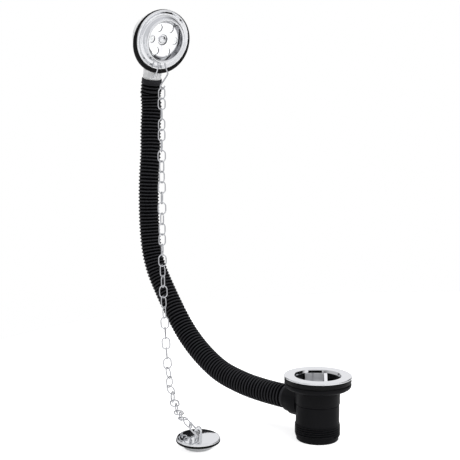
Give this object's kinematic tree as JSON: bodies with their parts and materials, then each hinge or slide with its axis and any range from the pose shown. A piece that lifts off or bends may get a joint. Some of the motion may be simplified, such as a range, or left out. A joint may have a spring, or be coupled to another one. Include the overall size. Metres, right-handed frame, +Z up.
{
  "type": "bath waste with overflow",
  "caption": "Bath waste with a threaded outlet, a ribbed hose to a round overflow plate, and a plug on a link chain.",
  "frame": {"origin": "on the waste's axis, level with the top of its flange, where the waste sits in the bath's outlet hole", "axes": "+Z up along the waste's axis, out of the bath's outlet; +X away from the overflow, so the overflow stands at -X; +Y to complete a right-handed set"},
  "size_m": [0.3236, 0.168, 0.4715],
  "materials": {
    "flange_chrome": "polished chrome plate",
    "plate_chrome": "polished chrome plate",
    "plug_chrome": "polished chrome plate",
    "eye_chrome": "polished chrome plate",
    "strap_metal": "plain bright steel",
    "screw_metal": "chrome-plated screw",
    "chain_metal": "chrome-plated wire",
    "rubber_black": "dull black rubber",
    "body_black": "moulded black plastic with a soft gloss",
    "hose_black": "ribbed black plastic",
    "overflow_white": "moulded white plastic",
    "plug_grey": "moulded pale grey plastic",
    "insert_brass": "turned brass"
  },
  "bodies": {
    "waste_and_chain": {"waste_flange": "flange_chrome", "flange_strap": "strap_metal", "waste_screw": "screw_metal", "seat_seal": "rubber_black", "lower_seal": "rubber_black", "waste_body": "body_black", "waste_insert": "insert_brass", "overflow_hose": "hose_black", "overflow_body": "overflow_white", "overflow_insert": "insert_brass", "overflow_seal": "rubber_black", "overflow_plate": "plate_chrome", "overflow_screw": "screw_metal", "chain_hook": "chain_metal", "plug_link": "chain_metal", "chain_link_1": "chain_metal", "chain_link_2": "chain_metal", "chain_link_3": "chain_metal", "chain_link_4": "chain_metal", "chain_link_5": "chain_metal", "chain_link_6": "chain_metal", "chain_link_7": "chain_metal", "chain_link_8": "chain_metal", "chain_link_9": "chain_metal", "chain_link_10": "chain_metal", "chain_link_11": "chain_metal", "chain_link_12": "chain_metal", "chain_link_13": "chain_metal", "chain_link_14": "chain_metal", "chain_link_15": "chain_metal", "chain_link_16": "chain_metal", "chain_link_17": "chain_metal", "chain_link_18": "chain_metal", "chain_link_19": "chain_metal", "chain_link_20": "chain_metal", "chain_link_21": "chain_metal", "chain_link_22": "chain_metal", "chain_link_23": "chain_metal", "chain_link_24": "chain_metal", "chain_link_25": "chain_metal", "chain_link_26": "chain_metal", "chain_link_27": "chain_metal", "chain_link_28": "chain_metal", "chain_link_29": "chain_metal", "chain_link_30": "chain_metal", "chain_link_31": "chain_metal", "chain_link_32": "chain_metal", "chain_link_33": "chain_metal", "chain_link_34": "chain_metal", "chain_link_35": "chain_metal", "chain_link_36": "chain_metal", "chain_link_37": "chain_metal"},
    "plug": {"plug_top": "plug_chrome", "plug_seal": "rubber_black", "plug_base": "plug_grey", "plug_eye": "eye_chrome"}
  },
  "joints": [
    {"name": "plug_tilt", "type": "hinge", "parent": "waste_and_chain", "child": "plug", "pos_m": [-0.07307, -0.10523, -0.05543], "axis": [0.682, -0.7314, 0], "range_deg": [-25, 120]}
  ]
}
